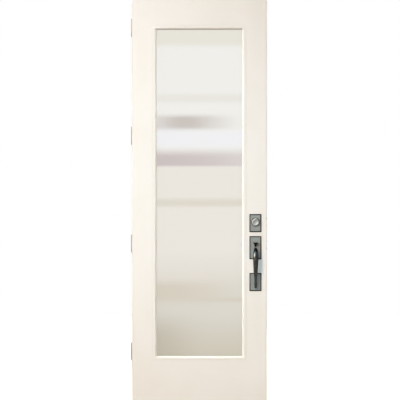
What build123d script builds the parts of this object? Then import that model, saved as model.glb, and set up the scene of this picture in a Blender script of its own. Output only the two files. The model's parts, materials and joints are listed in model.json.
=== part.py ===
from build123d import *
import math
import os

# A full lite front door: a painted stile and rail leaf round one tall sealed glass unit, four butt
# hinges, a deadbolt with a swinging keyhole cover, and a thumb latch with a long grip.
#
# Frame, in millimetres: +X runs from the hinges to the lock, +Z is up, and the street side faces -Y.
# The origin lies on the back of the lowest jamb hinge plate, halfway up that plate and in the middle
# of the leaf's thickness. The door is modelled closed.

# Leaf
leaf_width = 812.8
leaf_height = 2438.4
leaf_thickness = 44.45
stile_width = 125.0
top_rail_height = 168.0
bottom_rail_height = 254.0
lock_edge_bevel = 3.0  # degrees, so that the street face enters the frame first
arris_radius = 2.0

# Glazing
pane_thickness = 3.2
air_gap = 12.6
pane_edge_clearance = 4.0
spacer_width = 8.0
spacer_inset = 4.0
moulding_width = 24.0
moulding_joint = 0.6
moulding_flat = 15.0
moulding_edge_radius = 1.2
moulding_step = 0.6
moulding_lip = 1.4
moulding_slope_radius = 30.0

# Hinges
hinge_count = 4
hinge_height = 101.6
hinge_gauge = 3.0
hinge_gap = 3.0
hinge_setback = 6.35
hinge_corner_radius = 15.875
lowest_hinge_height = 304.8  # from the bottom of the leaf to the middle of the hinge
highest_hinge_drop = 177.8  # from the top of the leaf
knuckle_count = 5
knuckle_gap = 0.3
barrel_radius = 6.35
barrel_stand_off = 12.7  # from the room face to the pin's axis
barrel_relief = 0.8
pin_radius = 3.175
pin_clearance = 0.05
pin_head_height = 3.5
pin_tip_height = 4.0
screw_hole_radius = 2.75
screw_head_radius = 4.75
screw_head_depth = 2.0
screw_hole_spacing = 72.0
outer_screw_inset = 12.0  # from the plate's free edge
middle_screw_inset = 26.0
mortise_clearance = 0.25

# Lock positions
backset = 69.85
latch_height = 947.0  # from the bottom of the leaf to the latch bore
lock_spacing = 139.7
cross_bore_radius = 27.0
edge_bore_radius = 12.7

# Cast plates of the lock set
plate_width = 72.0
short_plate_height = 108.5
long_plate_height = 138.5
plate_thickness = 9.0  # at the flat field
plate_edge = 2.6
plate_rim = 6.0  # width of the slope round the plate
plate_ridge_width = 1.8  # of the raised line between the slope and the field
plate_ridge_height = 0.8
plate_corner_radius = 2.5
field_corner_radius = 1.5
plate_softening = 0.8
deadbolt_plate_drop = 6.6  # plate's middle below the deadbolt's bore
handle_plate_drop = 15.0
foot_plate_drop = 221.5  # foot plate's middle below the latch bore

# Deadbolt, street side
collar_radius = 25.0
collar_ear_radius = 8.5  # round the cover's pin
collar_height = 7.0
collar_softening = 1.6
cylinder_radius = 14.0
cylinder_clearance = 0.2
plug_radius = 6.5
plug_groove = 0.6
plug_groove_depth = 1.0
keyway_width = 2.0
keyway_height = 9.0
keyway_depth = 4.0
cover_gap = 0.3
cover_radius = 22.0
cover_tip_radius = 6.2
cover_rise = 18.5  # pivot above the collar's middle
cover_drop = 1.5  # middle of the cover's round part below the collar's middle
cover_edge_thickness = 2.6
cover_dome = 2.6
cover_dish_radius = 21.8  # in the plane of the dome's top
cover_dish_depth = 2.8
cover_pin_radius = 2.0
cover_pin_clearance = 0.1
cover_pin_head_radius = 3.4
cover_pin_head_height = 1.6
cover_seat_thickness = 3.6  # of the cover round its pin

# Thumb latch
thumb_pivot_depth = 4.5  # behind the plate's face
thumb_pivot_rise = 1.0  # above the latch bore's middle
thumb_pin_radius = 2.0
thumb_pin_clearance = 0.1
thumb_pin_seat = 3.0  # how far each end of the pin sits in the plate
thumb_slot_clearance = 1.5
thumb_slot_travel = 2.5
stem_width = 8.0
stem_height = 19.0
pad_length = 36.0
pad_width = 30.0
pad_root_width = 15.0
pad_thickness = 4.6
pad_dish = 4.2
pad_flare = 0.2  # how far each side runs outwards at the root, as a share of its run forwards
pad_rise = 9.5  # underside of the dish above the pivot
pad_stand_off = 1.5  # from the plate's face to the pad's root
web_width = 22.0  # of the gusset under the pad
web_seat = 0.8  # how far the gusset stays under the pad's dished face
web_foot_drop = 2.0  # below the pivot
web_reach = 26.0  # in front of the plate's face
web_clearance = 1.0
tail_length = 20.0
tail_shoulder = 8.0
tail_height = 8.0

# Grip
grip_top_drop = 23.0  # top foot below the latch bore
grip_bottom_drop = 230.5  # lower post below the latch bore
grip_width = 31.5  # at the belly
grip_thickness = 13.0
grip_stand_off = 50.0
post_radius = 7.0
post_stand_off = 24.0
finial_radius = 9.4
finial_neck_radius = 4.5
finial_tip_radius = 7.9
finial_tip_drop = 19.3

# Sections down the grip: share of the stand-off, share of the way down, the path's angle from
# straight out, then the section's width and thickness as shares of the grip's own
grip_sections = [
    (0.00, 0.000, 0, 0.66, 1.23),
    (0.30, 0.005, 8, 0.66, 1.17),
    (0.72, 0.060, 38, 0.82, 1.10),
    (0.95, 0.180, 74, 1.00, 1.00),
    (1.00, 0.340, 90, 0.97, 1.00),
    (0.98, 0.550, 95, 0.83, 0.95),
    (0.86, 0.760, 106, 0.61, 0.92),
    (0.62, 0.930, 122, 0.43, 0.85),
    (0.50, 1.000, 112, 0.36, 0.77),
]

# Edge fronts and bolts
front_width = 25.4
front_height = 57.15
front_thickness = 3.0
front_corner_radius = 6.35
case_radius = 12.0
case_reach = 10.0  # past the near wall of the cross bore
latch_bolt_width = 12.7
latch_bolt_height = 16.0
dead_bolt_width = 15.9
dead_bolt_height = 17.0
bolt_length = 30.0
bolt_clearance = 0.3
latch_nose = 10.0
latch_nose_land = 3.8  # from the bolt's middle plane to the nose's tip

# Room side
turn_collar_radius = 17.0
turn_collar_height = 6.0
turn_length = 44.0
turn_thickness = 9.0
turn_stand_off = 24.0
shank_radius = 9.5
shank_length = 26.0
shank_collar_radius = 15.0
shank_collar_height = 5.0
lever_reach = 68.0
lever_stand_off = 52.0
lever_thickness = 10.0
lever_height = 19.0

# Sections along the lever past its shank: share of the reach, share of the stand-off, the path's angle
# from straight out, then the section's height and thickness as shares of the lever's own
lever_sections = [
    (0.16, 0.90, 50, 1.00, 1.40),
    (0.42, 1.02, 86, 0.88, 1.02),
    (0.70, 1.00, 91, 0.92, 0.90),
    (1.00, 0.97, 94, 0.82, 0.75),
]

# Places that follow from the sizes above
half_thickness = leaf_thickness / 2
leaf_left = hinge_gauge + hinge_gap
leaf_right = leaf_left + leaf_width
leaf_bottom = -lowest_hinge_height
leaf_top = leaf_bottom + leaf_height
opening_left = leaf_left + stile_width
opening_right = leaf_right - stile_width
opening_bottom = leaf_bottom + bottom_rail_height
opening_top = leaf_top - top_rail_height
opening_width = opening_right - opening_left
opening_height = opening_top - opening_bottom
opening_middle_x = (opening_left + opening_right) / 2
opening_middle_z = (opening_bottom + opening_top) / 2
glass_unit_thickness = 2 * pane_thickness + air_gap
moulding_depth = (leaf_thickness - glass_unit_thickness) / 2
pin_x = hinge_gauge + hinge_gap / 2
pin_y = half_thickness + barrel_stand_off
plate_free_edge = -half_thickness + hinge_setback
hinge_step = (leaf_height - lowest_hinge_height - highest_hinge_drop) / (hinge_count - 1)
hinge_heights = [index * hinge_step for index in range(hinge_count)]
lock_x = leaf_right - backset
latch_z = latch_height - lowest_hinge_height
deadbolt_z = latch_z + lock_spacing
street_face = -half_thickness
street_plate_face = street_face - plate_thickness


def block(x_low, x_high, y_low, y_high, z_low, z_high):
    """A box between two corners."""
    box = Box(x_high - x_low, y_high - y_low, z_high - z_low)
    return Pos((x_low + x_high) / 2, (y_low + y_high) / 2, (z_low + z_high) / 2) * box


def rod_along_x(radius, length):
    return Rot(0, 90, 0) * Cylinder(radius, length)


def rod_along_y(radius, length):
    return Rot(90, 0, 0) * Cylinder(radius, length)


def lock_edge(height):
    """Local frame on the lock edge's bevelled face: +X out of the leaf, at a height."""
    middle_x = leaf_right - half_thickness * math.tan(math.radians(lock_edge_bevel))
    return Pos(middle_x, 0, height) * Rot(0, 0, -lock_edge_bevel)


# Leaf: stiles and rails
def hinge_stile():
    stile = block(leaf_left, opening_left, -half_thickness, half_thickness, leaf_bottom, leaf_top)
    outer_edges = stile.edges().filter_by(Axis.Z).group_by(Axis.X)[0]
    stile = fillet(outer_edges, arris_radius)
    for height in hinge_heights:
        stile -= Pos(0, 0, height) * hinge_mortise()
    return stile


def lock_stile():
    bevel_run = leaf_thickness * math.tan(math.radians(lock_edge_bevel))
    outline = Polyline(
        (opening_right, -half_thickness),
        (leaf_right - bevel_run, -half_thickness),
        (leaf_right, half_thickness),
        (opening_right, half_thickness),
        close=True,
    )
    stile = Pos(0, 0, leaf_bottom) * extrude(make_face(outline), leaf_height)
    outer_edges = stile.edges().filter_by(Axis.Z).sort_by(Axis.X)[-2:]
    stile = fillet(outer_edges, arris_radius)
    for height in (latch_z, deadbolt_z):
        stile -= Pos(lock_x, 0, height) * rod_along_y(cross_bore_radius, 2 * leaf_thickness)
        stile -= lock_edge(height) * edge_mortise()
    return stile


def rail(bottom, top):
    return block(opening_left, opening_right, -half_thickness, half_thickness, bottom, top)


# Glazing: mitred mouldings on both faces, two panes and their spacer
def moulding_section():
    """Section of a street side moulding that runs along X: Z is the distance from the wood."""
    face = -half_thickness
    seat = face + moulding_depth
    with BuildSketch(Plane.YZ) as section:
        with BuildLine():
            outer = moulding_joint
            Line((seat, outer), (face + moulding_edge_radius, outer))
            RadiusArc(
                (face + moulding_edge_radius, outer),
                (face, outer + moulding_edge_radius),
                moulding_edge_radius,
            )
            Line((face, outer + moulding_edge_radius), (face, moulding_flat))
            Line((face, moulding_flat), (face + moulding_step, moulding_flat))
            RadiusArc(
                (face + moulding_step, moulding_flat),
                (seat - moulding_lip, moulding_width),
                moulding_slope_radius,
            )
            Line((seat - moulding_lip, moulding_width), (seat, moulding_width))
            Line((seat, moulding_width), (seat, outer))
        make_face()
    return section.sketch


def moulding(length):
    """A street side moulding centred on X, its outer edge at Z = 0, mitred at both ends."""
    bar = extrude(moulding_section(), length / 2, both=True)
    mitre_outline = Polyline(
        (-length / 2, 0),
        (length / 2, 0),
        (length / 2 - moulding_width, moulding_width),
        (-length / 2 + moulding_width, moulding_width),
        close=True,
    )
    mitres = extrude(make_face(Plane.XZ * mitre_outline), leaf_thickness, both=True)
    return bar & mitres


def street_mouldings():
    across = moulding(opening_width)
    upright = moulding(opening_height)
    return {
        "bottom": Pos(opening_middle_x, 0, opening_bottom) * across,
        "top": Pos(opening_middle_x, 0, opening_top) * Rot(0, 180, 0) * across,
        "hinge_side": Pos(opening_left, 0, opening_middle_z) * Rot(0, 90, 0) * upright,
        "lock_side": Pos(opening_right, 0, opening_middle_z) * Rot(0, -90, 0) * upright,
    }


def glass_pane(y_low):
    return block(
        opening_left + pane_edge_clearance,
        opening_right - pane_edge_clearance,
        y_low,
        y_low + pane_thickness,
        opening_bottom + pane_edge_clearance,
        opening_top - pane_edge_clearance,
    )


def glass_spacer():
    inset = pane_edge_clearance + spacer_inset
    outer_width = opening_width - 2 * inset
    outer_height = opening_height - 2 * inset
    ring = Box(outer_width, air_gap, outer_height)
    ring -= Box(outer_width - 2 * spacer_width, 2 * air_gap, outer_height - 2 * spacer_width)
    return Pos(opening_middle_x, 0, opening_middle_z) * ring


# Hinges
def hinge_plate_outline(x_low, x_high, y_end, grow):
    """The flat of a hinge plate from its free edge to y_end, grown by a clearance."""
    plate = block(
        x_low,
        x_high,
        plate_free_edge - grow,
        y_end,
        -hinge_height / 2 - grow,
        hinge_height / 2 + grow,
    )
    corners = plate.edges().filter_by(Axis.X).group_by(Axis.Y)[0]
    return fillet(corners, hinge_corner_radius + grow)


def hinge_mortise():
    return hinge_plate_outline(
        leaf_left - hinge_gap, leaf_left + hinge_gauge, pin_y, mortise_clearance
    )


def knuckle_cylinder(index, radius, spread):
    """One of the barrel's knuckles, counted from the bottom, lengthened by spread at each end."""
    pitch = (hinge_height + knuckle_gap) / knuckle_count
    middle = -hinge_height / 2 - knuckle_gap / 2 + (index + 0.5) * pitch
    length = pitch - knuckle_gap + 2 * spread
    return Pos(pin_x, pin_y, middle) * Cylinder(radius, length)


def screw_places():
    """Middle of each screw hole on the plate as (y, z)."""
    outer_y = plate_free_edge + outer_screw_inset
    middle_y = plate_free_edge + middle_screw_inset
    half = screw_hole_spacing / 2
    return [(outer_y, -half), (outer_y, half), (middle_y, 0.0)]


def hinge_plate(own_knuckles, closed_foot):
    """A jamb side plate with its own knuckles, about the hinge's middle."""
    plate = hinge_plate_outline(0, hinge_gauge, pin_y - barrel_radius / 2, 0)
    for index in range(knuckle_count):
        if index in own_knuckles:
            plate += knuckle_cylinder(index, barrel_radius, 0)
        else:
            plate -= knuckle_cylinder(index, barrel_radius + barrel_relief, knuckle_gap)
    plate -= Pos(pin_x, pin_y, 0) * Cylinder(pin_radius + pin_clearance, 2 * hinge_height)
    if closed_foot:
        foot = Cylinder(barrel_radius, pin_tip_height)
        foot = fillet(foot.edges().group_by(Axis.Z)[0], pin_tip_height / 2)
        plate += Pos(pin_x, pin_y, -(hinge_height + pin_tip_height) / 2) * foot
    for y, z in screw_places():
        plate -= Pos(0, y, z) * rod_along_x(screw_hole_radius, 4 * hinge_gauge)
        sink = Cone(screw_hole_radius, screw_head_radius, screw_head_depth)
        plate -= Pos(hinge_gauge - screw_head_depth / 2, y, z) * Rot(0, 90, 0) * sink
    return plate


def jamb_plate():
    return hinge_plate(range(0, knuckle_count, 2), True)


def leaf_plate():
    """The door side plate is the jamb plate's mirror image across the gap, with the other knuckles."""
    own = hinge_plate(range(1, knuckle_count, 2), False)
    return mirror(own, Plane.YZ.offset(pin_x))


def hinge_pin():
    shaft = Pos(pin_x, pin_y, 0) * Cylinder(pin_radius, hinge_height)
    head = Cylinder(barrel_radius, pin_head_height)
    head = fillet(head.edges().group_by(Axis.Z)[-1], pin_head_height / 2)
    return shaft + Pos(pin_x, pin_y, (hinge_height + pin_head_height) / 2) * head


# Cast plates
def plate_outline(height, inset, radius):
    return RectangleRounded(plate_width - 2 * inset, height - 2 * inset, radius)


def cast_plate(height):
    """A cast plate with its back on Y = 0: straight edge, slope, raised line and flat field."""
    ridge_face = plate_thickness + plate_ridge_height
    foot = plate_outline(height, 0, plate_corner_radius)
    crest = plate_outline(height, plate_rim, field_corner_radius)
    edge = extrude(Plane.XZ * foot, plate_edge)
    slope = loft([Plane.XZ.offset(plate_edge) * foot, Plane.XZ.offset(ridge_face) * crest])
    plate = edge + slope
    plate = fillet(plate.faces().sort_by(Axis.Y)[0].edges(), plate_softening)
    field = plate_outline(height, plate_rim + plate_ridge_width, field_corner_radius)
    return plate - extrude(Plane.XZ.offset(plate_thickness) * field, plate_thickness)


def deadbolt_plate():
    return Pos(lock_x, street_face, deadbolt_z - deadbolt_plate_drop) * cast_plate(short_plate_height)


def foot_plate():
    return Pos(lock_x, street_face, latch_z - foot_plate_drop) * cast_plate(short_plate_height)


def handle_plate():
    plate = Pos(lock_x, street_face, latch_z - handle_plate_drop) * cast_plate(long_plate_height)
    slot_width = stem_width + 2 * thumb_slot_clearance
    slot_height = stem_height + 2 * thumb_slot_travel
    slot = Box(slot_width, 4 * plate_thickness, slot_height)
    plate -= Pos(lock_x, street_face, thumb_pivot()[1]) * slot
    pin_length = slot_width + 2 * thumb_pin_seat
    plate -= Pos(lock_x, *thumb_pivot()) * rod_along_x(thumb_pin_radius, pin_length)
    return plate


# Deadbolt, street side
def collar():
    """The raised pear-shaped collar on the deadbolt plate, bored for the key cylinder."""
    with BuildSketch(Plane.XZ) as outline:
        Circle(collar_radius)
        with Locations((0, cover_rise)):
            Circle(collar_ear_radius)
        make_hull()
    ring = extrude(outline.sketch, collar_height)
    ring = fillet(ring.faces().sort_by(Axis.Y)[0].edges(), collar_softening)
    ring -= rod_along_y(cylinder_radius + cylinder_clearance, 4 * collar_height)
    ring -= Pos(0, 0, cover_rise) * rod_along_y(cover_pin_radius, 4 * collar_height)
    return Pos(lock_x, street_plate_face, deadbolt_z) * ring


def key_cylinder():
    body = rod_along_y(cylinder_radius, collar_height)
    face = -collar_height / 2
    groove = rod_along_y(plug_radius + plug_groove, 2 * plug_groove_depth)
    groove -= rod_along_y(plug_radius, 2 * plug_groove_depth)
    body -= Pos(0, face, 0) * groove
    body -= Pos(0, face, 0) * Box(keyway_width, 2 * keyway_depth, keyway_height)
    return Pos(lock_x, street_plate_face - collar_height / 2, deadbolt_z) * body


def keyhole_cover():
    """A pear-shaped domed cover with a dished face, hanging from its pin in front of the keyway."""
    with BuildSketch(Plane.XZ) as outline:
        with Locations((0, -cover_drop)):
            Circle(cover_radius)
        with Locations((0, cover_rise)):
            Circle(cover_tip_radius)
        make_hull()
    thickness = cover_edge_thickness + cover_dome
    blank = extrude(outline.sketch, thickness)
    span = (cover_rise + cover_tip_radius + cover_radius + cover_drop) / 2
    dome_radius = (span**2 + cover_dome**2) / (2 * cover_dome)
    dome_middle = (cover_rise + cover_tip_radius - cover_radius - cover_drop) / 2
    blank &= Pos(0, dome_radius - thickness, dome_middle) * Sphere(dome_radius)
    dish_sphere = (cover_dish_radius**2 + cover_dish_depth**2) / (2 * cover_dish_depth)
    dish_y = cover_dish_depth - thickness - dish_sphere
    blank -= Pos(0, dish_y, -cover_drop) * Sphere(dish_sphere)
    at_pin = Pos(0, 0, cover_rise)
    blank -= at_pin * rod_along_y(cover_pin_radius + cover_pin_clearance, 4 * thickness)
    seat = rod_along_y(cover_pin_head_radius + cover_gap, thickness)
    blank -= at_pin * Pos(0, -cover_seat_thickness - thickness / 2, 0) * seat
    back_y = street_plate_face - collar_height - cover_gap
    return Pos(lock_x, back_y, deadbolt_z) * blank


def cover_pin():
    """Pin from the plate's face through the collar and the cover, with a domed head in front."""
    stack = collar_height + 2 * cover_gap + cover_seat_thickness
    shaft = rod_along_y(cover_pin_radius, stack)
    head = rod_along_y(cover_pin_head_radius, cover_pin_head_height)
    head = fillet(head.edges().group_by(Axis.Y)[0], cover_pin_head_height / 2)
    pin = shaft + Pos(0, -(stack + cover_pin_head_height) / 2, 0) * head
    return Pos(lock_x, street_plate_face - stack / 2, deadbolt_z + cover_rise) * pin


# Thumb latch
def thumb_pivot():
    """(y, z) of the thumbpiece's axis, which runs along X."""
    return street_plate_face + thumb_pivot_depth, latch_z + thumb_pivot_rise


def thumb_pin():
    length = stem_width + 2 * thumb_slot_clearance + 2 * thumb_pin_seat
    return Pos(lock_x, *thumb_pivot()) * rod_along_x(thumb_pin_radius, length)


def thumb_pad():
    """Dished spoon-shaped pad: a bent strip along Y, trimmed to its plan outline."""
    half = pad_width / 2
    bend_radius = (half**2 + pad_dish**2) / (2 * pad_dish)
    strip_middle = pad_rise + bend_radius + pad_thickness
    strip = rod_along_y(bend_radius + pad_thickness, 2 * pad_length)
    strip -= rod_along_y(bend_radius, 4 * pad_length)
    strip = Pos(0, 0, strip_middle) * strip
    with BuildSketch(Plane.XY) as plan:
        with BuildLine():
            root = pad_root_width / 2
            tip = -pad_length
            widest = tip + half
            Line((-root, 0), (root, 0))
            Spline(
                (root, 0), (half, widest), tangents=((pad_flare, -1), (0, -1))
            )
            ThreePointArc((half, widest), (0, tip), (-half, widest))
            Spline(
                (-half, widest), (-root, 0), tangents=((0, 1), (pad_flare, 1))
            )
        make_face()
    trim_height = pad_rise + pad_thickness + pad_dish
    return strip & extrude(plan.sketch, 2 * trim_height)


def thumb_stem():
    """Upright web under the pad, through the plate's slot, and the tail behind it."""
    plate_face = -thumb_pivot_depth
    pad_middle = pad_rise + pad_thickness / 2
    outline = Polyline(
        (plate_face - web_reach, pad_middle),
        (plate_face - web_clearance, -stem_height / 2),
        (tail_shoulder, -stem_height / 2),
        (tail_length, -tail_height / 2),
        (tail_length, tail_height / 2),
        (0, stem_height / 2),
        (plate_face, stem_height / 2),
        (plate_face - pad_stand_off, pad_middle),
        close=True,
    )
    return extrude(make_face(Plane.YZ * outline), stem_width / 2, both=True)


def thumb_web():
    """Gusset in front of the plate that tapers from the pad down to the stem."""
    back = -thumb_pivot_depth - web_clearance
    top = pad_rise + pad_thickness - web_seat
    side = Polyline(
        (-thumb_pivot_depth - web_reach, top), (back, -web_foot_drop), (back, top), close=True
    )
    front = Polyline(
        (-web_width / 2, top),
        (web_width / 2, top),
        (stem_width / 2, -web_foot_drop),
        (-stem_width / 2, -web_foot_drop),
        close=True,
    )
    gusset = extrude(make_face(Plane.YZ * side), web_width, both=True)
    return gusset & extrude(make_face(Plane.XZ * front), 2 * web_reach, both=True)


def thumbpiece():
    piece = thumb_stem() + thumb_web()
    piece += Pos(0, -thumb_pivot_depth - pad_stand_off, 0) * thumb_pad()
    piece -= rod_along_x(thumb_pin_radius + thumb_pin_clearance, 2 * pad_width)
    return Pos(lock_x, *thumb_pivot()) * piece


# Grip
def grip_station(stand_off, height, lean, width, thickness):
    """An oval section: lean is the path's angle from straight out (0) to straight down (90)."""
    angle = math.radians(lean)
    heading = Vector(0, -math.cos(angle), -math.sin(angle))
    plane = Plane(origin=(0, -stand_off, height), x_dir=(1, 0, 0), z_dir=heading)
    return plane * Ellipse(width / 2, thickness / 2)


def grip():
    """The cast grip, about the latch bore's middle and the plates' face: an arch and a finial."""
    drop = grip_bottom_drop - grip_top_drop
    sections = [
        grip_station(
            out * grip_stand_off,
            -grip_top_drop - down * drop,
            lean,
            width * grip_width,
            thickness * grip_thickness,
        )
        for out, down, lean, width, thickness in grip_sections
    ]
    at_post = Pos(0, 0, -grip_bottom_drop)
    at_ball = at_post * Pos(0, -post_stand_off, 0)
    body = loft(sections)
    body += at_ball * Sphere(finial_radius)
    body += at_ball * Pos(0, 0, -finial_tip_drop / 2) * Cylinder(finial_neck_radius, finial_tip_drop)
    body += at_ball * Pos(0, 0, -finial_tip_drop) * Sphere(finial_tip_radius)
    body += at_post * Pos(0, -post_stand_off / 2, 0) * rod_along_y(post_radius, post_stand_off)
    return Pos(lock_x, street_plate_face, latch_z) * body


# Edge fronts, cases and bolts, about the bevelled edge
def edge_front(grow):
    outline = Plane.YZ * RectangleRounded(
        front_width + 2 * grow, front_height + 2 * grow, front_corner_radius + grow
    )
    return outline


def edge_mortise():
    cut = extrude(edge_front(mortise_clearance), -front_thickness)
    cut += extrude(edge_front(mortise_clearance), front_thickness)
    return cut + Pos(-backset / 2, 0, 0) * rod_along_x(edge_bore_radius, backset)


def edge_case(bolt_width, bolt_height):
    """A front flush with the edge and the round case behind it, hollow for the bolt."""
    case_length = backset - cross_bore_radius + case_reach
    case = extrude(edge_front(0), -front_thickness)
    case += Pos(-case_length / 2, 0, 0) * rod_along_x(case_radius, case_length)
    way = Box(
        2 * (bolt_length + bolt_clearance),
        bolt_width + 2 * bolt_clearance,
        bolt_height + 2 * bolt_clearance,
    )
    return case - way


def dead_bolt():
    bolt = Pos(-bolt_length / 2, 0, 0) * Box(bolt_length, dead_bolt_width, dead_bolt_height)
    return chamfer(bolt.faces().sort_by(Axis.X)[-1].edges(), bolt_clearance)


def latch_bolt():
    """A spring bolt drawn in, its nose sloped on the street side."""
    half = latch_bolt_width / 2
    outline = Polyline(
        (-bolt_length, -half),
        (-latch_nose, -half),
        (0, latch_nose_land),
        (0, half),
        (-bolt_length, half),
        close=True,
    )
    return extrude(make_face(outline), latch_bolt_height / 2, both=True)


# Room side
def room_side(height):
    """Local frame on the room face: +Y points back towards the street, +X to the hinges."""
    return Pos(lock_x, half_thickness, height) * Rot(0, 0, 180)


def thumbturn():
    base = rod_along_y(turn_collar_radius, turn_collar_height)
    base = fillet(base.edges().group_by(Axis.Y)[0], turn_collar_height / 3)
    base = Pos(0, -turn_collar_height / 2, 0) * base
    outline = Plane.XZ * SlotOverall(turn_length, turn_thickness, rotation=90)
    foot = Plane.XZ.offset(turn_collar_height / 2) * Ellipse(turn_thickness / 2, turn_length / 4)
    head = Pos(0, -turn_stand_off, 0) * outline
    paddle = loft([foot, head])
    rim = paddle.faces().sort_by(Axis.Y)[0].edges()
    paddle = fillet(rim, turn_thickness / 5)
    return room_side(deadbolt_z) * Pos(0, -plate_thickness, 0) * (base + paddle)


def lever_station(reach, stand_off, heading_angle, height, thickness):
    angle = math.radians(heading_angle)
    heading = Vector(math.sin(angle), -math.cos(angle), 0)
    plane = Plane(origin=(reach, -stand_off, 0), x_dir=(0, 0, 1), z_dir=heading)
    return plane * Ellipse(height / 2, thickness / 2)


def room_lever():
    """A short lever on a round shank: it turns through a right angle and tapers to a flat end."""
    sections = [
        lever_station(0, 0, 0, 2 * shank_radius, 2 * shank_radius),
        lever_station(0, shank_length, 0, 2 * shank_radius, 2 * shank_radius),
    ]
    for along, out, lean, height, thickness in lever_sections:
        sections.append(
            lever_station(
                along * lever_reach,
                out * lever_stand_off,
                lean,
                height * lever_height,
                thickness * lever_thickness,
            )
        )
    lever = loft(sections)
    base = rod_along_y(shank_collar_radius, shank_collar_height)
    base = fillet(base.edges().group_by(Axis.Y)[0], shank_collar_height / 3)
    lever += Pos(0, -shank_collar_height / 2, 0) * base
    return room_side(latch_z) * Pos(0, -plate_thickness, 0) * lever


# Assembly
def build_nodes():
    nodes = {
        "hinge_stile": hinge_stile(),
        "lock_stile": lock_stile(),
        "top_rail": rail(opening_top, leaf_top),
        "bottom_rail": rail(leaf_bottom, opening_bottom),
        "outer_glass_pane": glass_pane(-half_thickness + moulding_depth),
        "inner_reeded_pane": glass_pane(half_thickness - moulding_depth - pane_thickness),
        "glass_spacer": glass_spacer(),
        "deadbolt_plate": deadbolt_plate(),
        "deadbolt_collar": collar(),
        "key_cylinder": key_cylinder(),
        "keyhole_cover": keyhole_cover(),
        "cover_pin": cover_pin(),
        "handle_plate": handle_plate(),
        "thumbpiece": thumbpiece(),
        "thumb_pin": thumb_pin(),
        "grip": grip(),
        "foot_plate": foot_plate(),
        "latch_case": lock_edge(latch_z) * edge_case(latch_bolt_width, latch_bolt_height),
        "latch_bolt": lock_edge(latch_z) * latch_bolt(),
        "deadbolt_case": lock_edge(deadbolt_z) * edge_case(dead_bolt_width, dead_bolt_height),
        "dead_bolt": lock_edge(deadbolt_z) * dead_bolt(),
        "room_deadbolt_plate": room_side(deadbolt_z) * cast_plate(short_plate_height),
        "room_lever_plate": room_side(latch_z) * cast_plate(short_plate_height),
        "thumbturn": thumbturn(),
        "room_lever": room_lever(),
    }
    for place, shape in street_mouldings().items():
        nodes["street_moulding_" + place] = shape
        nodes["room_moulding_" + place] = mirror(shape, Plane.XZ)
    for number, height in enumerate(hinge_heights, start=1):
        at_hinge = Pos(0, 0, height)
        nodes[f"hinge_{number}_jamb_plate"] = at_hinge * jamb_plate()
        nodes[f"hinge_{number}_leaf_plate"] = at_hinge * leaf_plate()
        nodes[f"hinge_{number}_pin"] = at_hinge * hinge_pin()
    return nodes


def main():
    os.makedirs("parts", exist_ok=True)
    for name, shape in build_nodes().items():
        export_step(shape, f"parts/{name}.step")


main()
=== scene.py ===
import json
import math

import bmesh
import bpy
from mathutils import Matrix, Vector


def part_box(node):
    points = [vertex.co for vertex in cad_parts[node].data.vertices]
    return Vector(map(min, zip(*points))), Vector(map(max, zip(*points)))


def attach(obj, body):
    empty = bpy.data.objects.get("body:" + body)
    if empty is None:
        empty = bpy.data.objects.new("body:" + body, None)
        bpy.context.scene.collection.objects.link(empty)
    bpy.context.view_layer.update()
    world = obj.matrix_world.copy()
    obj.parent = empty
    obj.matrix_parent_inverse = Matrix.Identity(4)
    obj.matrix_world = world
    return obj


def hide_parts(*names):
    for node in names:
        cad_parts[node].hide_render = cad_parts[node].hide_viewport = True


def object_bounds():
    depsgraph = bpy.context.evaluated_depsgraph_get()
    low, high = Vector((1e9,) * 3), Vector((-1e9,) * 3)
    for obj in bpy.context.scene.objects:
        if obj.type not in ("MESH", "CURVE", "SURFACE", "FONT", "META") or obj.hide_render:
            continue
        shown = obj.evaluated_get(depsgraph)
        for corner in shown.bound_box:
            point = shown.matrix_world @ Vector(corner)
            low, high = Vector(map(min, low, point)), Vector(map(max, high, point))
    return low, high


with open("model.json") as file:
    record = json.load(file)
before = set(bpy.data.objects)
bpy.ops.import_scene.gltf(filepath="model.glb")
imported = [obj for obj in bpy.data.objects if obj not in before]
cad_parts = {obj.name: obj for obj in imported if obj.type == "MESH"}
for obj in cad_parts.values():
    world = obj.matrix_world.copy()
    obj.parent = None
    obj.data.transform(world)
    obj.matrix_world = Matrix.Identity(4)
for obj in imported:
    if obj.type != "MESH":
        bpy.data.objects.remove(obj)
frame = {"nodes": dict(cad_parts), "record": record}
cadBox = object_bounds()
nodes = frame["nodes"]
mm = 0.001

# Node settings that come up again and again
smoothStep = {"interpolation_type": "SMOOTHSTEP", "clamp": True}
multiply = {"operation": "MULTIPLY"}
highest = {"operation": "MAXIMUM"}
colourMix = {"data_type": "RGBA"}


# Small helpers
def linearColour(code):  # sRGB hex to linear red, green, blue and alpha
    channels = [int(code[i:i + 2], 16) / 255 for i in (0, 2, 4)]
    return [c / 12.92 if c <= 0.04045 else ((c + 0.055) / 1.055) ** 2.4 for c in channels] + [1.0]


def addNode(tree, kind, settings=None, inputs=None):  # a node with its settings, then values or links
    node = tree.nodes.new(kind)
    for name, value in (settings or {}).items():
        setattr(node, name, value)
    for key, value in (inputs or {}).items():
        if isinstance(value, bpy.types.NodeSocket):
            tree.links.new(value, node.inputs[key])
        else:
            node.inputs[key].default_value = value
    return node


def newMaterial(name):  # an empty node material and its tree
    material = bpy.data.materials.new(name)
    material.use_nodes = True
    material.node_tree.nodes.clear()
    return material, material.node_tree


def newObject(name, data):  # a new object, linked into the scene
    made = bpy.data.objects.new(name, data)
    bpy.context.scene.collection.objects.link(made)
    return made


def flatPiece(name, shape, placing, material):  # a flat shape as a mesh in its place
    mesh = bpy.data.meshes.new(name)
    shape.to_mesh(mesh)
    shape.free()
    mesh.transform(placing)
    mesh.materials.append(material)
    return newObject(name, mesh)


def dress(material, *names):  # gives CAD nodes their material
    for name in names:
        slots = nodes[name].data.materials
        slots.clear()
        slots.append(material)


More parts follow.
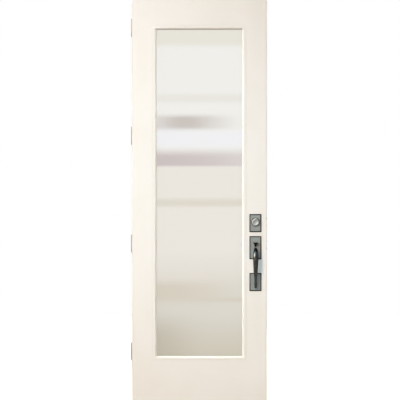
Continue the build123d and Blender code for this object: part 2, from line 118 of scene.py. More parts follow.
def plainMesh(source, name, body):  # the evaluated result as a mesh of its own
    graph = bpy.context.evaluated_depsgraph_get()
    mesh = bpy.data.meshes.new_from_object(source.evaluated_get(graph))
    mesh.name = name
    bpy.data.objects.remove(source)
    piece = newObject(name, mesh)
    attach(piece, body)
    return piece


def nodesModifier(target, tree, values):  # sets each input by its socket's identifier
    modifier = target.modifiers.new(tree.name, "NODES")
    modifier.node_group = tree
    for item in tree.interface.items_tree:
        if item.item_type == "SOCKET" and item.in_out == "INPUT" and item.name in values:
            modifier[item.identifier] = values[item.name]
    target.update_tag()
    bpy.context.view_layer.update()


def newGeometryTree(name, inputs):  # named inputs, one geometry output
    tree = bpy.data.node_groups.new(name, "GeometryNodeTree")
    for inputName, kind in inputs.items():
        tree.interface.new_socket(inputName, in_out="INPUT", socket_type=kind)
    tree.interface.new_socket("Geometry", in_out="OUTPUT", socket_type="NodeSocketGeometry")
    return tree, addNode(tree, "NodeGroupInput").outputs


def shadeByAngle(tree, geometry, creaseAngle):  # smooth faces, with edges past the angle left sharp
    smooth = addNode(tree, "GeometryNodeSetShadeSmooth", inputs={"Geometry": geometry})
    angle = addNode(tree, "GeometryNodeInputMeshEdgeAngle")
    crease = addNode(tree, "FunctionNodeCompare", {"data_type": "FLOAT", "operation": "GREATER_THAN"},
                     {0: angle.outputs[0], 1: creaseAngle})
    sharp = addNode(tree, "GeometryNodeSetShadeSmooth", {"domain": "EDGE"},
                    {"Geometry": smooth.outputs[0], "Selection": crease.outputs[0], "Shade Smooth": False})
    return sharp.outputs[0]


def closeGeometryTree(tree, geometry, material):
    real = addNode(tree, "GeometryNodeRealizeInstances", inputs={"Geometry": geometry})
    painted = addNode(tree, "GeometryNodeSetMaterial",
                      inputs={"Geometry": real.outputs[0], "Material": material})
    addNode(tree, "NodeGroupOutput", inputs={0: painted.outputs[0]})


# Camera: square on to the street face, as far off as a long lens stands
view = {
    "pixels": 400,
    "doorWidthPixels": 135.0,  # between the leaf's two edges
    "doorLeftPixel": 132.0,
    "middleAboveFoot": 1219.2 * mm,  # the picture's middle above the leaf's foot
    "distance": 12.0,
    "sensor": 36.0,
    "nearest": 0.1,
    "farthest": 100.0,
}


def makeCamera():
    leafLow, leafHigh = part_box("hinge_stile")[0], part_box("lock_stile")[1]
    perPixel = (leafHigh.x - leafLow.x) / view["doorWidthPixels"]
    frameWidth = perPixel * view["pixels"]
    data = bpy.data.cameras.new("photoCamera")
    data.sensor_width = view["sensor"]
    data.lens = view["sensor"] * view["distance"] / frameWidth
    data.clip_start = view["nearest"]
    data.clip_end = view["farthest"]
    camera = newObject("photoCamera", data)
    middleX = leafLow.x + (view["pixels"] / 2 - view["doorLeftPixel"]) * perPixel
    camera.location = (middleX, leafLow.y - view["distance"], leafLow.z + view["middleAboveFoot"])
    camera.rotation_euler = (math.radians(90), 0, 0)
    bpy.context.scene.camera = camera
    print("camera: lens", round(data.lens, 1), "mm, frame", round(frameWidth, 3), "m wide")


# Studio lamps: places and aims in metres, spread in degrees, power in watts
lamps = {
    # cool and narrow, from high on the left, for the hinge stile and the mouldings
    "windowKey": {"at": (-2.2, -4.7, 4.8), "aim": (0.22, 0.0, 1.08), "size": 2.4, "spread": 22,
                  "power": 12.0, "colour": "BEE6FF"},
    # warm and soft, from the left of the camera, for the whole street face
    "roomSoft": {"at": (-2.3, -6.6, 3.7), "aim": (0.41, 0.0, 0.6), "size": 2.2, "spread": 80,
                 "power": 78, "colour": "FFECD9"},
    # two soft ones behind, for the room face and both edges
    "backKey": {"at": (3.6, 5.0, 3.6), "aim": (0.41, 0.0, 0.9), "size": 2.0, "spread": 180,
                "power": 290, "colour": "F8FAFF"},
    "backSoft": {"at": (-3.4, 5.4, 1.6), "aim": (0.41, 0.0, 0.9), "size": 2.4, "spread": 180,
                 "power": 170, "colour": "FBFAF8"},
}
unshadedKey, unshadedNode = "windowKey", "grip"  # that lamp casts no shadow of the grip on the paint


def makeLamps():
    for name, lamp in lamps.items():
        data = bpy.data.lights.new(name, "AREA")
        data.shape = "SQUARE"
        data.size = lamp["size"]
        data.energy = lamp["power"]
        data.color = linearColour(lamp["colour"])[:3]
        data.spread = math.radians(lamp["spread"])
        light = newObject(name, data)
        light.visible_camera = False
        light.visible_transmission = False
        light.location = lamp["at"]
        aim = Vector(lamp["aim"]) - light.location
        light.rotation_euler = aim.to_track_quat("-Z", "Y").to_euler()
        if name == unshadedKey:
            unshaded = bpy.data.collections.new("noKeyShadow")
            unshaded.objects.link(nodes[unshadedNode])
            unshaded.collection_objects[0].light_linking.link_state = "EXCLUDE"
            light.light_linking.blocker_collection = unshaded


# Room and floor: the camera, straight or through glass, sees white, and the part is lit by a dim warm room
room = {
    "shownColour": "FFFFFF", "shown": 1.0,
    "ambientColour": "FFECD7", "ambient": 0.12,
    "floorColour": "C2BBB0",
    "floorSize": 18.0, "floorSides": 96,
    "floorDrop": 6 * mm,  # below the part's lowest point
    "glowNear": 0.78, "glowFar": 1.0,  # added for the camera, so that the floor fades to white
    "glowStart": 2.25, "glowEnd": 6.0,  # metres from the origin
}


def makeWorld():
    world = bpy.data.worlds.new("paleRoom")
    world.use_nodes = True
    tree = world.node_tree
    tree.nodes.clear()
    path = addNode(tree, "ShaderNodeLightPath")
    clear = addNode(tree, "ShaderNodeMath", highest,
                    {0: path.outputs["Is Camera Ray"], 1: path.outputs["Is Transmission Ray"]})
    shown = addNode(tree, "ShaderNodeBackground",
                    inputs={"Color": linearColour(room["shownColour"]), "Strength": room["shown"]})
    lit = addNode(tree, "ShaderNodeBackground",
                  inputs={"Color": linearColour(room["ambientColour"]), "Strength": room["ambient"]})
    mixed = addNode(tree, "ShaderNodeMixShader",
                    inputs={0: clear.outputs[0], 1: lit.outputs[0], 2: shown.outputs[0]})
    addNode(tree, "ShaderNodeOutputWorld", inputs={"Surface": mixed.outputs[0]})
    bpy.context.scene.world = world


def makeFloor():  # matt floor paint, which gives the eye a pale ground that holds a soft shadow
    material, tree = newMaterial("paleFloorPaint")
    place = addNode(tree, "ShaderNodeTexCoord")
    matt = addNode(tree, "ShaderNodeBsdfDiffuse", inputs={"Color": linearColour(room["floorColour"])})
    reach = addNode(tree, "ShaderNodeVectorMath", {"operation": "LENGTH"}, {0: place.outputs["Object"]})
    fade = addNode(tree, "ShaderNodeMapRange", {"clamp": True},
                   {"Value": reach.outputs["Value"], "From Min": room["glowStart"],
                    "From Max": room["glowEnd"], "To Min": room["glowNear"], "To Max": room["glowFar"]})
    glow = addNode(tree, "ShaderNodeEmission",
                   inputs={"Color": linearColour(room["shownColour"]), "Strength": fade.outputs[0]})
    both = addNode(tree, "ShaderNodeAddShader", inputs={0: matt.outputs[0], 1: glow.outputs[0]})
    shown = addNode(tree, "ShaderNodeEmission",
                    inputs={"Color": linearColour(room["shownColour"]), "Strength": room["shown"]})
    path = addNode(tree, "ShaderNodeLightPath")
    direct = addNode(tree, "ShaderNodeMixShader",
                     inputs={0: path.outputs["Is Camera Ray"], 1: matt.outputs[0], 2: both.outputs[0]})
    whole = addNode(tree, "ShaderNodeMixShader",
                    inputs={0: path.outputs["Is Transmission Ray"], 1: direct.outputs[0],
                            2: shown.outputs[0]})
    addNode(tree, "ShaderNodeOutputMaterial", inputs={"Surface": whole.outputs[0]})
    shape = bmesh.new()
    bmesh.ops.create_circle(shape, cap_ends=True, segments=room["floorSides"],
                            radius=room["floorSize"] / 2)
    low, high = cadBox
    level = low.z - room["floorDrop"]
    floor = flatPiece("floor", shape, Matrix.Translation(((low.x + high.x) / 2, 0, level)), material)
    print("studio:", len(lamps), "lamps, floor at", round(level, 4))


# What shows through the glass: a glowing card painted with the light and shade of a pale room far out of
# focus, as soft level bands. Heights are in metres above the origin
outlook = {
    "behind": 0.55,  # metres behind the reeded pane
    "width": 4.4,
    "height": 4.4,
    "colour": "F5F4F1",
    "footColour": "CBC2B0",  # it darkens evenly to this, over the band named below and under the others
    "footStart": 0.60,
    "footEnd": -0.08,
    "footOver": "warmField",
    "strength": 1.0,
}
# name: middle height, half height, softness above and below, colour, strength, and where it lies along X:
# None for all the way across, or middle, half width and softness
bands = {
    "headShade": (2.02, 0.10, 0.06, 0.06, "EBE7DC", 1.0, None),
    "warmField": (0.775, 0.335, 0.05, 0.10, "EFE9E2", 1.0, None),
    "upperStreak": (1.557, 0.006, 0.04, 0.04, "ECE8E2", 0.8, None),
    "smudge": (1.400, 0.024, 0.045, 0.035, "BDB1AA", 1.0, (0.32, 0.03, 0.25)),
    "violetEdge": (1.330, 0.020, 0.05, 0.05, "E3E0EA", 0.6, (0.0, 0.12, 0.14)),
    "skyBand": (1.300, 0.020, 0.07, 0.06, "F6F6FB", 0.9, None),
    "mauveBand": (1.160, 0.020, 0.075, 0.024, "CBBEBE", 1.0, (-0.1, 0.3, 1.2)),
    "tanLine": (0.896, 0.006, 0.035, 0.03, "DFD8CA", 0.9, None),
    "umberShade": (0.340, 0.02, 0.08, 0.12, "D0C4B0", 0.75, (-0.1, 0.2, 1.0)),
    "rightLine": (0.284, 0.003, 0.02, 0.02, "CFC4B0", 0.5, (0.75, 0.1, 0.3)),
    "footCorner": (-0.05, 0.08, 0.24, 0.3, "A1967F", 0.6, (0.0, 0.12, 0.24)),
}


def softBand(tree, place, low, high, softLow, softHigh):  # 1 from low to high, fading to 0 past both ends
    rise = addNode(tree, "ShaderNodeMapRange", smoothStep,
                   {"Value": place, "From Min": low - softLow, "From Max": low})
    fall = addNode(tree, "ShaderNodeMapRange", smoothStep,
                   {"Value": place, "From Min": high + softHigh, "From Max": high})
    return addNode(tree, "ShaderNodeMath", multiply, {0: rise.outputs[0], 1: fall.outputs[0]}).outputs[0]


def makeOutlook():
    material, tree = newMaterial("distantRoom")
    place = addNode(tree, "ShaderNodeTexCoord")
    split = addNode(tree, "ShaderNodeSeparateXYZ", inputs={0: place.outputs["Object"]})
    x, z = split.outputs["X"], split.outputs["Z"]
    foot = addNode(tree, "ShaderNodeMapRange", {"clamp": True},
                   {"Value": z, "From Min": outlook["footStart"], "From Max": outlook["footEnd"]})
    colour = linearColour(outlook["colour"])
    for name, (middle, half, above, below, code, strength, across) in bands.items():
        level = softBand(tree, z, middle - half, middle + half, below, above)
        share = addNode(tree, "ShaderNodeMath", multiply, {0: level, 1: strength}).outputs[0]
        if across:
            centre, halfWidth, soft = across
            width = softBand(tree, x, centre - halfWidth, centre + halfWidth, soft, soft)
            share = addNode(tree, "ShaderNodeMath", multiply, {0: share, 1: width}).outputs[0]
        colour = addNode(tree, "ShaderNodeMix", colourMix,
                         {"Factor": share, 6: colour, 7: linearColour(code)}).outputs[2]
        if name == outlook["footOver"]:
            colour = addNode(tree, "ShaderNodeMix", colourMix,
                             {"Factor": foot.outputs[0], 6: colour,
                              7: linearColour(outlook["footColour"])}).outputs[2]
    glow = addNode(tree, "ShaderNodeEmission", inputs={"Color": colour, "Strength": outlook["strength"]})
    addNode(tree, "ShaderNodeOutputMaterial", inputs={"Surface": glow.outputs[0]})
    low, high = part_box("inner_reeded_pane")
    middle = (low + high) / 2
    shape = bmesh.new()
    bmesh.ops.create_grid(shape, x_segments=1, y_segments=1, size=0.5)  # one metre square
    placing = (Matrix.Translation((middle.x, high.y + outlook["behind"], middle.z))
               @ Matrix.Rotation(math.radians(90), 4, "X")
               @ Matrix.Diagonal((outlook["width"], outlook["height"], 1, 1)))
    card = flatPiece("outlook", shape, placing, material)
    card.visible_camera = False  # only the glass shows it
    card.visible_diffuse = False
    card.visible_glossy = False
    card.visible_shadow = False
    print("outlook:", len(bands), "bands behind the glass")


# Painted wood: satin enamel sprayed on a sanded leaf. It gives the eye a warm white with broad soft
# highlights, the faintest orange peel, and wide patches where the coat is a little duller
paint = {
    "colour": "F8F3ED", "dullColour": "F5F0E8",
    "patch": 380 * mm, "patchDetail": 3.0, "patchRoughness": 0.5, "dullFrom": 0.35, "dullTo": 0.7,
    "roughnessLow": 0.34, "roughnessHigh": 0.43, "roughFrom": 0.3, "roughTo": 0.7,
    "peel": 2.5 * mm, "peelDetail": 2.0, "peelRoughness": 0.45,
    "peelStrength": 0.12, "peelDepth": 0.15 * mm,
    "ior": 1.48,
}
woodwork = ["hinge_stile", "lock_stile", "top_rail", "bottom_rail"]


def makePaint():
    material, tree = newMaterial("satinEnamelOnWood")
    where = addNode(tree, "ShaderNodeTexCoord").outputs["Object"]
    patch = addNode(tree, "ShaderNodeTexNoise",
                    inputs={"Vector": where, "Scale": 1 / paint["patch"], "Detail": paint["patchDetail"],
                            "Roughness": paint["patchRoughness"]})
    dull = addNode(tree, "ShaderNodeMapRange", smoothStep,
                   {"Value": patch.outputs[0], "From Min": paint["dullFrom"], "From Max": paint["dullTo"]})
    colour = addNode(tree, "ShaderNodeMix", colourMix,
                     {"Factor": dull.outputs[0], 6: linearColour(paint["colour"]),
                      7: linearColour(paint["dullColour"])})
    peel = addNode(tree, "ShaderNodeTexNoise",
                   inputs={"Vector": where, "Scale": 1 / paint["peel"], "Detail": paint["peelDetail"],
                           "Roughness": paint["peelRoughness"]})
    bump = addNode(tree, "ShaderNodeBump",
                   inputs={"Height": peel.outputs[0], "Strength": paint["peelStrength"],
                           "Distance": paint["peelDepth"]})
    roughness = addNode(tree, "ShaderNodeMapRange",
                        inputs={"Value": patch.outputs[0], "From Min": paint["roughFrom"],
                                "From Max": paint["roughTo"], "To Min": paint["roughnessLow"],
                                "To Max": paint["roughnessHigh"]})
    shader = addNode(tree, "ShaderNodeBsdfPrincipled",
                     inputs={"Base Color": colour.outputs[2], "Roughness": roughness.outputs[0],
                             "Normal": bump.outputs[0], "IOR": paint["ior"]})
    addNode(tree, "ShaderNodeOutputMaterial", inputs={"Surface": shader.outputs[0]})
    mouldings = [name for name in nodes if "_moulding_" in name]
    dress(material, *woodwork, *mouldings)
    print("paint:", len(woodwork), "boards and", len(mouldings), "mouldings")


# Glass: float glass, which gives the eye a clear pane with faint sharp reflections. The reeded pane, rolled
# hot, blurs what stands behind it sideways. Shadow rays pass, as light does through a real pane
glass = {"tint": "FEFEFD", "ior": 1.52, "shadowTint": "EFF2EF", "polished": 0.0, "rolled": 0.02}
reeds = {"pitch": 3.2 * mm, "depth": 0.5 * mm, "facets": 10, "creaseAngle": 0.6}  # finer than a pixel


def makeGlass(name, roughness):
    material, tree = newMaterial(name)
    pane = addNode(tree, "ShaderNodeBsdfPrincipled",
                   inputs={"Base Color": linearColour(glass["tint"]), "Roughness": roughness,
                           "IOR": glass["ior"], "Transmission Weight": 1.0})
    clear = addNode(tree, "ShaderNodeBsdfTransparent",
                    inputs={"Color": linearColour(glass["shadowTint"])})
    path = addNode(tree, "ShaderNodeLightPath")
    mixed = addNode(tree, "ShaderNodeMixShader",
                    inputs={0: path.outputs["Is Shadow Ray"], 1: pane.outputs[0], 2: clear.outputs[0]})
    addNode(tree, "ShaderNodeOutputMaterial", inputs={"Surface": mixed.outputs[0]})
    return material


def makeClearPane():
    dress(makeGlass("clearFloatGlass", glass["polished"]), "outer_glass_pane")
    print("clear pane: dressed")


def makeReedTree():  # a slab whose street side is pressed into hollow reeds
    tree, given = newGeometryTree("reedRoller", {
        "Pane Size": "NodeSocketVector", "Reed Count": "NodeSocketInt", "Facets": "NodeSocketInt",
        "Reed Depth": "NodeSocketFloat", "Crease Angle": "NodeSocketFloat", "Glass": "NodeSocketMaterial"})
    columns = addNode(tree, "ShaderNodeMath", {"operation": "MULTIPLY_ADD"},
                      {0: given["Reed Count"], 1: given["Facets"], 2: 1.0})
    slab = addNode(tree, "GeometryNodeMeshCube",
                   inputs={"Size": given["Pane Size"], "Vertices X": columns.outputs[0]})
    place = addNode(tree, "GeometryNodeInputPosition")
    split = addNode(tree, "ShaderNodeSeparateXYZ", inputs={0: place.outputs[0]})
    width = addNode(tree, "ShaderNodeSeparateXYZ", inputs={0: given["Pane Size"]})
    share = addNode(tree, "ShaderNodeMath", {"operation": "DIVIDE"},
                    {0: split.outputs["X"], 1: width.outputs["X"]})
    centred = addNode(tree, "ShaderNodeMath", {"operation": "ADD"}, {0: share.outputs[0], 1: 0.5})
    counted = addNode(tree, "ShaderNodeMath", multiply, {0: centred.outputs[0], 1: given["Reed Count"]})
    phase = addNode(tree, "ShaderNodeMath", {"operation": "FRACT"}, {0: counted.outputs[0]})
    side = addNode(tree, "ShaderNodeMath", {"operation": "MULTIPLY_ADD"},
                   {0: phase.outputs[0], 1: 2.0, 2: -1.0})  # from -1 to 1 across each reed
    hollow = addNode(tree, "ShaderNodeMath", {"operation": "POWER"}, {0: side.outputs[0], 1: 2.0})
    depth = addNode(tree, "ShaderNodeMath", multiply, {0: hollow.outputs[0], 1: given["Reed Depth"]})
    offset = addNode(tree, "ShaderNodeCombineXYZ", inputs={"Y": depth.outputs[0]})
    airSide = addNode(tree, "FunctionNodeCompare", {"data_type": "FLOAT", "operation": "LESS_THAN"},
                      {0: split.outputs["Y"], 1: 0.0})
    rolled = addNode(tree, "GeometryNodeSetPosition",
                     inputs={"Geometry": slab.outputs[0], "Selection": airSide.outputs[0],
                             "Offset": offset.outputs[0]})
    shaded = shadeByAngle(tree, rolled.outputs[0], given["Crease Angle"])
    closeGeometryTree(tree, shaded, given["Glass"])
    return tree


def makeReededPane():
    low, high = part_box("inner_reeded_pane")
    size = high - low
    count = round(size.x / reeds["pitch"])
    tree = makeReedTree()
    source = newObject("reedRoller", bpy.data.meshes.new("reedRoller"))
    nodesModifier(source, tree, {
        "Pane Size": size, "Reed Count": count, "Facets": reeds["facets"], "Reed Depth": reeds["depth"],
        "Crease Angle": reeds["creaseAngle"], "Glass": makeGlass("reededFloatGlass", glass["rolled"])})
    pane = plainMesh(source, "reeded_pane", "leaf")
    pane.data.transform(Matrix.Translation((low + high) / 2))
    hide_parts("inner_reeded_pane")
    print("reeded pane:", count, "reeds,", len(pane.data.polygons), "faces")


# Antiqued pewter plate on castings: a dark wash stays in pits, and on slopes and in corners, where its
# darkness is partly patina and partly painted shade. Flat faces are rubbed back. It gives the eye soft grey
# fields with near black borders and a fine cast grain
pewter = {
    # dark colour of the patina wash, also used as painted shade on slopes and in corners
    "washAndShade": "12100E",
    "metallic": 0.85,
    "noiseRoughness": 0.6,
    "blotch": 9 * mm, "blotchDetail": 4.0,
    "grain": 1.6 * mm, "grainDetail": 3.0,
    "corner": 7 * mm, "cornerSamples": 8,  # how far a corner's shelter reaches, for the patina and painted shade in corners
    "washAndShadeRoughness": 0.2,  # added where the wash and painted shade lie
    "bump": 0.35, "bumpDepth": 0.3 * mm,
}
washAndShadeLimits = {  # what the wash and painted shade follow: where each starts, where it is full
    # blotch and grain are the patina's own tone; corner and slope are partly patina and partly painted shade
    "blotch": (0.5, 0.85), "grain": (0.52, 0.34), "corner": (0.8, 0.4), "slope": (0.97, 0.72),
}
washAndShadeShares = {"blotch": 0.35, "grain": 0.45, "corner": 0.85}  # how strong it is at its fullest
castings = {  # material name: face colour, roughness, the axis its rubbed faces look along, share of wash and painted shade on slopes
    "antiquedCastPewter": ("B2B9B8", 0.44, "Y", 1.0),  # plates: grey fields
    "antiquedCastPewterEdge": ("B4B7B4", 0.44, "X", 1.0),  # edge fronts: the same, seen from the lock edge
    "gripPewterPaintedShade": ("656766", 0.27, "Y", 1.0),  # grip: painted shade makes it darker; handled smooth, with long glints
    "collarPewterPaintedShade": ("464746", 0.4, "Y", 1.0),  # collar: painted shade, a dark ring round the cover
    "rubbedPewterPaintedHighlight": ("CFD7D9", 0.37, "Y", 0.9),  # keyhole cover and pin: the brightest, partly handled wear and partly painted highlight
}


def makePewter(name):
    faceColour, gloss, axis, slopeShare = castings[name]
    material, tree = newMaterial(name)
    place = addNode(tree, "ShaderNodeTexCoord")
    # faces turned away from the axis get the wash: painted shade of the sides, on top of the patina
    facing = addNode(tree, "ShaderNodeSeparateXYZ", inputs={0: place.outputs["Normal"]})
    level = addNode(tree, "ShaderNodeMath", {"operation": "ABSOLUTE"}, {0: facing.outputs[axis]})
    blotch = addNode(tree, "ShaderNodeTexNoise",
                     inputs={"Vector": place.outputs["Object"], "Scale": 1 / pewter["blotch"],
                             "Detail": pewter["blotchDetail"], "Roughness": pewter["noiseRoughness"]})
    grain = addNode(tree, "ShaderNodeTexNoise",
                    inputs={"Vector": place.outputs["Object"], "Scale": 1 / pewter["grain"],
                            "Detail": pewter["grainDetail"], "Roughness": pewter["noiseRoughness"]})
    # ambient occlusion: darkening in corners where shade falls, partly patina and partly painted shade
    corner = addNode(tree, "ShaderNodeAmbientOcclusion", {"samples": pewter["cornerSamples"]},
                     {"Distance": pewter["corner"]})
    followed = {"blotch": blotch.outputs[0], "grain": grain.outputs[0], "corner": corner.outputs["AO"],
                "slope": level.outputs[0]}
    washedAndShaded = 0.0
    for kind, value in followed.items():  # the strongest of the four layers of wash and painted shade shows
        start, full = washAndShadeLimits[kind]
        mask = addNode(tree, "ShaderNodeMapRange", smoothStep,
                       {"Value": value, "From Min": start, "From Max": full})
        layer = addNode(tree, "ShaderNodeMath", multiply,
                        {0: mask.outputs[0], 1: washAndShadeShares.get(kind, slopeShare)})
        washedAndShaded = addNode(tree, "ShaderNodeMath", highest, {0: washedAndShaded, 1: layer.outputs[0]}).outputs[0]
    colour = addNode(tree, "ShaderNodeMix", colourMix,
                     {"Factor": washedAndShaded, 6: linearColour(faceColour), 7: linearColour(pewter["washAndShade"])})
    roughness = addNode(tree, "ShaderNodeMapRange",
                        inputs={"Value": washedAndShaded, "To Min": gloss, "To Max": gloss + pewter["washAndShadeRoughness"]})
    bump = addNode(tree, "ShaderNodeBump",
                   inputs={"Height": grain.outputs[0], "Strength": pewter["bump"],
                           "Distance": pewter["bumpDepth"]})
    shader = addNode(tree, "ShaderNodeBsdfPrincipled",
                     inputs={"Base Color": colour.outputs[2], "Metallic": pewter["metallic"],
                             "Roughness": roughness.outputs[0], "Normal": bump.outputs[0]})
    addNode(tree, "ShaderNodeOutputMaterial", inputs={"Surface": shader.outputs[0]})
    return material


# Cast iron blackened by heat and oil: a dull oxide and not bare metal. It gives the eye a nearly black
# thumbpiece, partly that finish and partly painted shade, a little worn in fine random specks
iron = {
    "colour": "0B0B0A", "wornColour": "1E1D1B", "roughness": 0.5, "specular": 0.15,
    "grain": 1.2 * mm, "grainDetail": 3.0, "grainRoughness": 0.55,
    "wornFrom": 0.55, "wornTo": 0.75, "wornShare": 0.5,
    "bump": 0.3, "bumpDepth": 0.2 * mm,
}


def makeIron():
    material, tree = newMaterial("blackenedIronPaintedShade")
    place = addNode(tree, "ShaderNodeTexCoord")
    grain = addNode(tree, "ShaderNodeTexNoise",
                    inputs={"Vector": place.outputs["Object"], "Scale": 1 / iron["grain"],
                            "Detail": iron["grainDetail"], "Roughness": iron["grainRoughness"]})
    mask = addNode(tree, "ShaderNodeMapRange", smoothStep,
                   {"Value": grain.outputs[0], "From Min": iron["wornFrom"], "From Max": iron["wornTo"]})
    worn = addNode(tree, "ShaderNodeMath", multiply, {0: mask.outputs[0], 1: iron["wornShare"]})
    colour = addNode(tree, "ShaderNodeMix", colourMix,
                     {"Factor": worn.outputs[0], 6: linearColour(iron["colour"]),
                      7: linearColour(iron["wornColour"])})
    bump = addNode(tree, "ShaderNodeBump",
                   inputs={"Height": grain.outputs[0], "Strength": iron["bump"],
                           "Distance": iron["bumpDepth"]})
    shader = addNode(tree, "ShaderNodeBsdfPrincipled",
                     inputs={"Base Color": colour.outputs[2], "Roughness": iron["roughness"],
                             "Specular IOR Level": iron["specular"], "Normal": bump.outputs[0]})
    addNode(tree, "ShaderNodeOutputMaterial", inputs={"Surface": shader.outputs[0]})
    return material


# Brushed metals: fine lines run up and down, which gives the eye a soft streaked sheen
brush = {
    "lineLength": 60,  # in line widths
    "detail": 2.0, "noiseRoughness": 0.5,
    "darkest": 0.82,  # of the metal's own colour
    "smoother": 0.06, "rougher": 0.08,  # to either side of the metal's own roughness
    "bump": 0.15, "bumpDepth": 0.05 * mm,
}
brushedMetals = {  # material name: colour, roughness, line width
    "satinNickelPlate": ("DAD7CF", 0.38, 0.25 * mm),  # hinges: a warm silver
    "plainTurnedSteel": ("A9A9A6", 0.34, 0.2 * mm),  # bolts: cooler and a little glossier
    "millAluminium": ("B5B7B8", 0.36, 0.3 * mm),  # spacer between the panes: a dull grey line
}


def makeBrushed(name):
    code, roughness, lineWidth = brushedMetals[name]
    material, tree = newMaterial(name)
    place = addNode(tree, "ShaderNodeTexCoord")
    fine, coarse = 1 / lineWidth, 1 / (lineWidth * brush["lineLength"])
    lines = addNode(tree, "ShaderNodeMapping",
                    inputs={"Vector": place.outputs["Object"], "Scale": (fine, fine, coarse)})
    streaks = addNode(tree, "ShaderNodeTexNoise",
                      inputs={"Vector": lines.outputs[0], "Scale": 1.0, "Detail": brush["detail"],
                              "Roughness": brush["noiseRoughness"]})
    bright = linearColour(code)
    dark = [c * brush["darkest"] for c in bright[:3]] + [1.0]
    colour = addNode(tree, "ShaderNodeMix", colourMix, {"Factor": streaks.outputs[0], 6: dark, 7: bright})
    rough = addNode(tree, "ShaderNodeMapRange",
                    inputs={"Value": streaks.outputs[0], "To Min": roughness - brush["smoother"],
                            "To Max": roughness + brush["rougher"]})
    bump = addNode(tree, "ShaderNodeBump",
                   inputs={"Height": streaks.outputs[0], "Strength": brush["bump"],
                           "Distance": brush["bumpDepth"]})
    shader = addNode(tree, "ShaderNodeBsdfPrincipled",
                     inputs={"Base Color": colour.outputs[2], "Metallic": 1.0,
                             "Roughness": rough.outputs[0], "Normal": bump.outputs[0]})
    addNode(tree, "ShaderNodeOutputMaterial", inputs={"Surface": shader.outputs[0]})
    return material


# Which metal a node gets: by its own name first, then by its slot
metalOfNode = {
    "latch_case": "antiquedCastPewterEdge", "deadbolt_case": "antiquedCastPewterEdge",
    "grip": "gripPewterPaintedShade", "deadbolt_collar": "collarPewterPaintedShade",
    "keyhole_cover": "rubbedPewterPaintedHighlight", "cover_pin": "rubbedPewterPaintedHighlight",
}
metalOfSlot = {
    "aged_pewter": "antiquedCastPewter", "blackened_iron": "blackenedIronPaintedShade",
    "satin_nickel": "satinNickelPlate", "bolt_steel": "plainTurnedSteel",
    "spacer_aluminium": "millAluminium",
}


def dressMetals():
    made = {name: makePewter(name) for name in castings}
    made["blackenedIronPaintedShade"] = makeIron()
    for name in brushedMetals:
        made[name] = makeBrushed(name)
    dressed = []
    for part in frame["record"]["subparts"]:
        metal = metalOfNode.get(part["node"], metalOfSlot.get(part["material_slot"]))
        if metal:
            dress(made[metal], part["node"])
            dressed.append(part["node"])
    print("metals:", len(made), "on", len(dressed), "nodes")
    return made


# Screws: crossed recess heads, sunk in the leaf side hinge plates, oval on the edge fronts and room plates
screws = {
    "sunkRadius": 4.6 * mm, "sunkRise": 0.12 * mm, "sunkDepth": 1.9 * mm,
    "ovalRadius": 4.2 * mm, "ovalRise": 1.1 * mm, "ovalDepth": 0.5 * mm,
    "neckShare": 0.6,  # the underside's radius, as a share of the head's
    "slotLength": 5.0 * mm, "slotWidth": 1.0 * mm, "slotDepth": 1.4 * mm,
    "hingeSpacing": 36 * mm, "hingeOuterY": -3.875 * mm, "hingeMiddleY": 10.125 * mm,
    "frontSpacing": 21.5 * mm,
    "roomSpacing": 40 * mm, "roomField": 31.1 * mm,  # just under the room plates' field
    "sides": 32, "rings": 16, "creaseAngle": 0.6,
    "seed": 7,  # how far each head was driven round
}


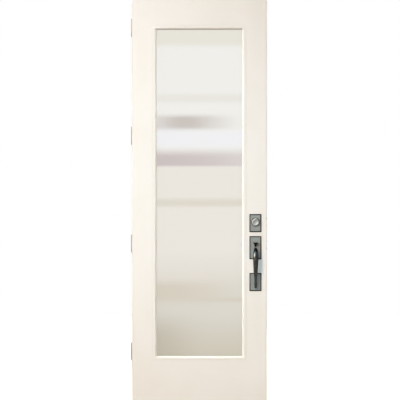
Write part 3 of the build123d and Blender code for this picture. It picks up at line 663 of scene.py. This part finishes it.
def makeScrewTree():
    tree, given = newGeometryTree("screwSetter", {
        "Places": "NodeSocketGeometry", "Facing": "NodeSocketVector", "Head Radius": "NodeSocketFloat",
        "Neck Share": "NodeSocketFloat", "Head Depth": "NodeSocketFloat", "Head Rise": "NodeSocketFloat",
        "Slot Size": "NodeSocketVector", "Slot Height": "NodeSocketFloat", "Sides": "NodeSocketInt",
        "Rings": "NodeSocketInt", "Crease Angle": "NodeSocketFloat", "Seed": "NodeSocketInt",
        "Metal": "NodeSocketMaterial"})
    narrow = addNode(tree, "ShaderNodeMath", multiply, {0: given["Head Radius"], 1: given["Neck Share"]})
    cone = addNode(tree, "GeometryNodeMeshCone",
                   inputs={"Vertices": given["Sides"], "Radius Top": given["Head Radius"],
                           "Radius Bottom": narrow.outputs[0], "Depth": given["Head Depth"]})
    under = addNode(tree, "ShaderNodeMath", multiply, {0: given["Head Depth"], 1: -1.0})
    sink = addNode(tree, "ShaderNodeCombineXYZ", inputs={"Z": under.outputs[0]})
    seated = addNode(tree, "GeometryNodeTransform",
                     inputs={"Geometry": cone.outputs[0], "Translation": sink.outputs[0]})
    ball = addNode(tree, "GeometryNodeMeshUVSphere",
                   inputs={"Segments": given["Sides"], "Rings": given["Rings"], "Radius": 1.0})
    flat = addNode(tree, "ShaderNodeCombineXYZ",
                   inputs={"X": given["Head Radius"], "Y": given["Head Radius"], "Z": given["Head Rise"]})
    dome = addNode(tree, "GeometryNodeTransform",
                   inputs={"Geometry": ball.outputs[0], "Scale": flat.outputs[0]})
    whole = addNode(tree, "GeometryNodeMeshBoolean", {"operation": "UNION"})
    tree.links.new(seated.outputs[0], whole.inputs["Mesh 2"])
    tree.links.new(dome.outputs[0], whole.inputs["Mesh 2"])
    slotPlace = addNode(tree, "ShaderNodeCombineXYZ", inputs={"Z": given["Slot Height"]})
    cut = addNode(tree, "GeometryNodeMeshBoolean", {"operation": "DIFFERENCE"},
                  {"Mesh 1": whole.outputs[0]})
    blade = addNode(tree, "GeometryNodeMeshCube", inputs={"Size": given["Slot Size"]})
    for turn in (0, 90):
        turned = addNode(tree, "GeometryNodeTransform",
                         inputs={"Geometry": blade.outputs[0], "Translation": slotPlace.outputs[0],
                                 "Rotation": (0, 0, math.radians(turn))})
        tree.links.new(turned.outputs[0], cut.inputs["Mesh 2"])
    head = shadeByAngle(tree, cut.outputs[0], given["Crease Angle"])
    points = addNode(tree, "GeometryNodeMeshToPoints", inputs={"Mesh": given["Places"]})
    aim = addNode(tree, "FunctionNodeAlignRotationToVector", {"axis": "Z"}, {"Vector": given["Facing"]})
    spin = addNode(tree, "FunctionNodeRandomValue", {"data_type": "FLOAT"},
                   {"Min": 0.0, "Max": math.pi, "Seed": given["Seed"]})
    about = addNode(tree, "ShaderNodeCombineXYZ", inputs={"Z": spin.outputs[1]})
    turn = addNode(tree, "FunctionNodeEulerToRotation", inputs={0: about.outputs[0]})
    driven = addNode(tree, "FunctionNodeRotateRotation", {"rotation_space": "LOCAL"},
                     {0: aim.outputs[0], 1: turn.outputs[0]})
    placed = addNode(tree, "GeometryNodeInstanceOnPoints",
                     inputs={"Points": points.outputs[0], "Instance": head, "Rotation": driven.outputs[0]})
    closeGeometryTree(tree, placed.outputs[0], given["Metal"])
    return tree


def setScrews(tree, name, places, facing, kind, metal):
    mesh = bpy.data.meshes.new(name)
    mesh.from_pydata(places, [], [])
    source = newObject(name + "Places", mesh)
    nodesModifier(source, tree, {
        "Facing": facing, "Head Radius": screws[kind + "Radius"], "Neck Share": screws["neckShare"],
        "Head Depth": screws[kind + "Depth"], "Head Rise": screws[kind + "Rise"],
        "Slot Size": (screws["slotLength"], screws["slotWidth"], screws["slotDepth"]),
        "Slot Height": screws[kind + "Rise"], "Sides": screws["sides"], "Rings": screws["rings"],
        "Crease Angle": screws["creaseAngle"], "Seed": screws["seed"], "Metal": metal})
    heads = plainMesh(source, name, "leaf")
    print("screws:", name, len(places), "heads,", len(heads.data.polygons), "faces")


def makeScrews(metals):
    tree = makeScrewTree()
    places = []
    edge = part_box("hinge_stile")[0].x  # the hinge plates lie flush with this edge
    for number in range(1, 5):
        low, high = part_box(f"hinge_{number}_leaf_plate")
        middle = (low.z + high.z) / 2
        for sign in (-1, 1):
            places.append((edge, screws["hingeOuterY"], middle + sign * screws["hingeSpacing"]))
        places.append((edge, screws["hingeMiddleY"], middle))
    setScrews(tree, "hinge_screws", places, (-1.0, 0.0, 0.0), "sunk",
              metals["satinNickelPlate"])
    places = []
    for name in ("latch_case", "deadbolt_case"):
        low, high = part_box(name)
        for sign in (-1, 1):
            places.append((high.x - screws["ovalDepth"] / 2, 0.0,
                           (low.z + high.z) / 2 + sign * screws["frontSpacing"]))
    setScrews(tree, "front_screws", places, (1.0, 0.0, 0.0), "oval",
              metals["antiquedCastPewterEdge"])
    places = []
    for name in ("room_deadbolt_plate", "room_lever_plate"):
        low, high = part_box(name)
        for sign in (-1, 1):
            places.append(((low.x + high.x) / 2, screws["roomField"],
                           (low.z + high.z) / 2 + sign * screws["roomSpacing"]))
    setScrews(tree, "room_plate_screws", places, (0.0, 1.0, 0.0), "oval",
              metals["antiquedCastPewter"])


makeCamera()
makeLamps()
makeWorld()
makeFloor()
makeOutlook()
makePaint()
makeClearPane()
makeReededPane()
makeScrews(dressMetals())
print("materials:", len(bpy.data.materials))

bpy.context.scene.view_settings.view_transform = "Standard"
